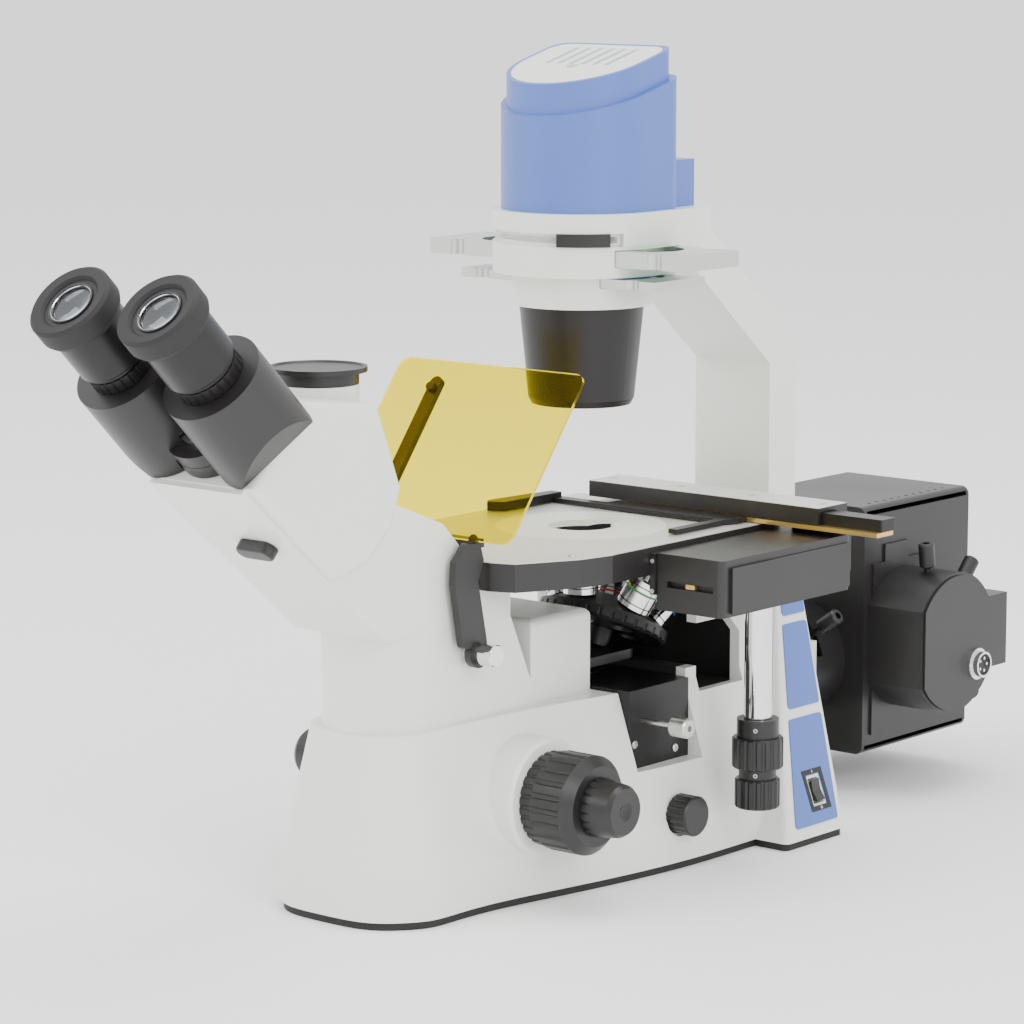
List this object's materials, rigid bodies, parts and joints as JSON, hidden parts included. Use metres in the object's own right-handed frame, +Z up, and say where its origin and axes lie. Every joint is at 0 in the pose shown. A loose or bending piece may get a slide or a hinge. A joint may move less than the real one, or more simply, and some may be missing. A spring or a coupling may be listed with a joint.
{
  "type": "inverted microscope",
  "caption": "Inverted laboratory microscope with trinocular head, mechanical stage, tilting amber shield, long-distance condenser and a fluorescence lamp house.",
  "frame": {"origin": "foot of the objective axis on the bench plane, at the underside of the foot strip", "axes": "+Z up along the optical axis, +X to the user's right, +Y from the eyepieces back to the lamp house"},
  "size_m": [0.309, 0.8027, 0.5205],
  "materials": {
    "white_paint": "pale greenish white fine satin paint",
    "blue_paint": "mid-blue satin paint",
    "black_paint": "warm black satin paint",
    "black_anodised": "black anodised, satin",
    "black_plastic": "moulded black plastic, satin",
    "rubber": "soft black rubber",
    "chrome": "polished",
    "steel": "brushed",
    "brass": "plain brass",
    "amber": "clear amber acrylic",
    "glass": "coated optical glass",
    "silver": "clear anodised"
  },
  "bodies": {
    "stand": {"foot_strip": "rubber", "base_casting": "white_paint", "side_panels": "blue_paint", "filter_box": "black_anodised", "front_column": "white_paint", "neck_casting": "white_paint", "prism_housing": "white_paint", "photo_port": "white_paint", "binocular_spigot": "steel", "pillar": "white_paint", "lamp_collar": "white_paint", "slider_rings": "white_paint", "condenser_tube": "black_anodised", "light_path_lenses": "glass", "lamp_shell": "blue_paint", "vent_plate": "white_paint", "stage_plate": "black_paint", "collector_tube": "black_paint", "lamp_house": "black_paint", "socket_cover": "black_paint", "lamp_connector": "chrome", "mains_inlet": "black_plastic"},
    "y_carriage": {"drive_box": "black_paint", "cross_rail": "black_paint", "knob_sleeve": "chrome"},
    "x_carriage": {"rack_strip": "brass", "rack_end_block": "black_anodised", "specimen_holder": "black_anodised"},
    "y_drive": {"y_knob": "black_plastic"},
    "x_drive": {"x_knob": "black_plastic"},
    "focus_carriage": {"nosepiece_carriage": "black_paint"},
    "nosepiece": {"turret": "black_paint", "objectives": "chrome"},
    "coarse_drive": {"coarse_knobs": "black_plastic"},
    "fine_drive": {"fine_knobs": "black_plastic"},
    "tension": {"tension_ring": "black_plastic"},
    "brightness": {"brightness_knob": "black_plastic"},
    "rocker": {"power_rocker": "black_plastic"},
    "filter_drawer": {"filter_slider": "steel"},
    "port_selector": {"beam_lever": "black_plastic"},
    "right_tube": {"tube_arm_right": "black_paint", "eyepiece_right": "black_anodised", "eyecup_right": "rubber"},
    "left_tube": {"tube_arm_left": "black_paint", "eyepiece_left": "black_anodised", "eyecup_left": "rubber"},
    "right_diopter": {"diopter_ring_right": "black_anodised"},
    "left_diopter": {"diopter_ring_left": "black_anodised"},
    "port_cover": {"port_cap": "black_plastic"},
    "aperture": {"aperture_lever": "black_plastic"},
    "upper_filter": {"upper_slider": "silver"},
    "lower_filter": {"lower_slider": "silver"},
    "shield": {"shield_panel": "amber", "shield_frame": "black_paint", "thumb_screws": "chrome"},
    "insert": {"stage_insert": "white_paint"},
    "adjuster_top": {"lamp_adjuster_top": "black_plastic"},
    "adjuster_upper": {"lamp_adjuster_upper": "black_plastic"},
    "adjuster_lower": {"lamp_adjuster_lower": "black_plastic"},
    "collector": {"collector_lever": "black_plastic"}
  },
  "joints": [
    {"name": "stage_y", "type": "slide", "parent": "stand", "child": "y_carriage", "axis": [0, 1, 0], "range_m": [-0.039, 0.039]},
    {"name": "stage_x", "type": "slide", "parent": "y_carriage", "child": "x_carriage", "axis": [1, 0, 0], "range_m": [-0.05, 0.05]},
    {"name": "y_knob_turn", "type": "hinge", "parent": "y_carriage", "child": "y_drive", "pos_m": [0.1159, 0.037, 0.075], "axis": [0, 0, 1], "range_deg": [-400, 400]},
    {"name": "x_knob_turn", "type": "hinge", "parent": "y_carriage", "child": "x_drive", "pos_m": [0.1159, 0.037, 0.048], "axis": [0, 0, 1], "range_deg": [-510, 510]},
    {"name": "focus", "type": "slide", "parent": "stand", "child": "focus_carriage", "axis": [0, 0, 1], "range_m": [-0.007, 0.002]},
    {"name": "nosepiece_turn", "type": "hinge", "parent": "focus_carriage", "child": "nosepiece", "pos_m": [0, 0.024, 0.15], "axis": [0, 0.4226, 0.9063], "continuous": true},
    {"name": "coarse_turn", "type": "hinge", "parent": "stand", "child": "coarse_drive", "pos_m": [0, -0.118, 0.065], "axis": [1, 0, 0], "range_deg": [-68, 20]},
    {"name": "fine_turn", "type": "hinge", "parent": "coarse_drive", "child": "fine_drive", "pos_m": [0, -0.118, 0.065], "axis": [1, 0, 0], "continuous": true},
    {"name": "tension_turn", "type": "hinge", "parent": "stand", "child": "tension", "pos_m": [0, -0.118, 0.065], "axis": [1, 0, 0], "range_deg": [0, 60]},
    {"name": "brightness_turn", "type": "hinge", "parent": "stand", "child": "brightness", "pos_m": [0.0915, -0.004, 0.036], "axis": [1, 0, 0], "range_deg": [-150, 150]},
    {"name": "power_switch", "type": "hinge", "parent": "stand", "child": "rocker", "pos_m": [0.10357, 0.11791, 0.03186], "axis": [0, 1, 0], "range_deg": [-14, 0]},
    {"name": "filter_change", "type": "slide", "parent": "stand", "child": "filter_drawer", "axis": [1, 0, 0], "range_m": [-0.022, 0]},
    {"name": "port_select", "type": "hinge", "parent": "stand", "child": "port_selector", "pos_m": [0.008, -0.308, 0.24095], "axis": [0, -0.6457, -0.7636], "range_deg": [0, 90]},
    {"name": "right_tube_fold", "type": "hinge", "parent": "stand", "child": "right_tube", "pos_m": [0, -0.3293, 0.3033], "axis": [0, -0.7071, 0.7071], "range_deg": [0, 40]},
    {"name": "left_tube_fold", "type": "hinge", "parent": "stand", "child": "left_tube", "pos_m": [0, -0.3293, 0.3033], "axis": [0, -0.7071, 0.7071], "range_deg": [-40, 0]},
    {"name": "right_diopter_turn", "type": "hinge", "parent": "right_tube", "child": "right_diopter", "pos_m": [0.035, -0.37413, 0.34813], "axis": [0, -0.7071, 0.7071], "range_deg": [-120, 120]},
    {"name": "left_diopter_turn", "type": "hinge", "parent": "left_tube", "child": "left_diopter", "pos_m": [-0.035, -0.37413, 0.34813], "axis": [0, -0.7071, 0.7071], "range_deg": [-120, 120]},
    {"name": "port_cap_lift", "type": "slide", "parent": "stand", "child": "port_cover", "axis": [0, 0, 1], "range_m": [0, 0.03]},
    {"name": "aperture_turn", "type": "hinge", "parent": "stand", "child": "aperture", "pos_m": [0, 0, 0.40175], "axis": [0, 0, 1], "range_deg": [-60, 0]},
    {"name": "upper_filter_slide", "type": "slide", "parent": "stand", "child": "upper_filter", "axis": [1, 0, 0], "range_m": [-0.057, 0.057]},
    {"name": "lower_filter_slide", "type": "slide", "parent": "stand", "child": "lower_filter", "axis": [1, 0, 0], "range_m": [-0.043, 0.043]},
    {"name": "shield_tilt", "type": "hinge", "parent": "stand", "child": "shield", "pos_m": [0, -0.155, 0.158], "axis": [1, 0, 0], "range_deg": [-6, 2]},
    {"name": "insert_lift", "type": "slide", "parent": "stand", "child": "insert", "axis": [0, 0, 1], "range_m": [0, 0.03]},
    {"name": "adjuster_top_turn", "type": "hinge", "parent": "stand", "child": "adjuster_top", "pos_m": [0.081, 0.28013, 0.15392], "axis": [0, -0.1392, 0.9903], "range_deg": [-180, 180]},
    {"name": "adjuster_upper_turn", "type": "hinge", "parent": "stand", "child": "adjuster_upper", "pos_m": [0.081, 0.32132, 0.14053], "axis": [0, 0.6947, 0.7193], "range_deg": [-180, 180]},
    {"name": "adjuster_lower_turn", "type": "hinge", "parent": "stand", "child": "adjuster_lower", "pos_m": [0.081, 0.32371, 0.07194], "axis": [0, 0.7431, -0.6691], "range_deg": [-180, 180]},
    {"name": "collector_focus", "type": "hinge", "parent": "stand", "child": "collector", "pos_m": [0, 0.212, 0.0915], "axis": [0, 1, 0], "range_deg": [-20, 20]}
  ],
  "couplings": [
    {"joint": "y_knob_turn", "follows": "stage_y", "rad_per_m": 174.5},
    {"joint": "x_knob_turn", "follows": "stage_x", "rad_per_m": 174.5},
    {"joint": "coarse_turn", "follows": "focus", "rad_per_m": 166.7},
    {"joint": "left_tube_fold", "follows": "right_tube_fold", "ratio": -1}
  ]
}
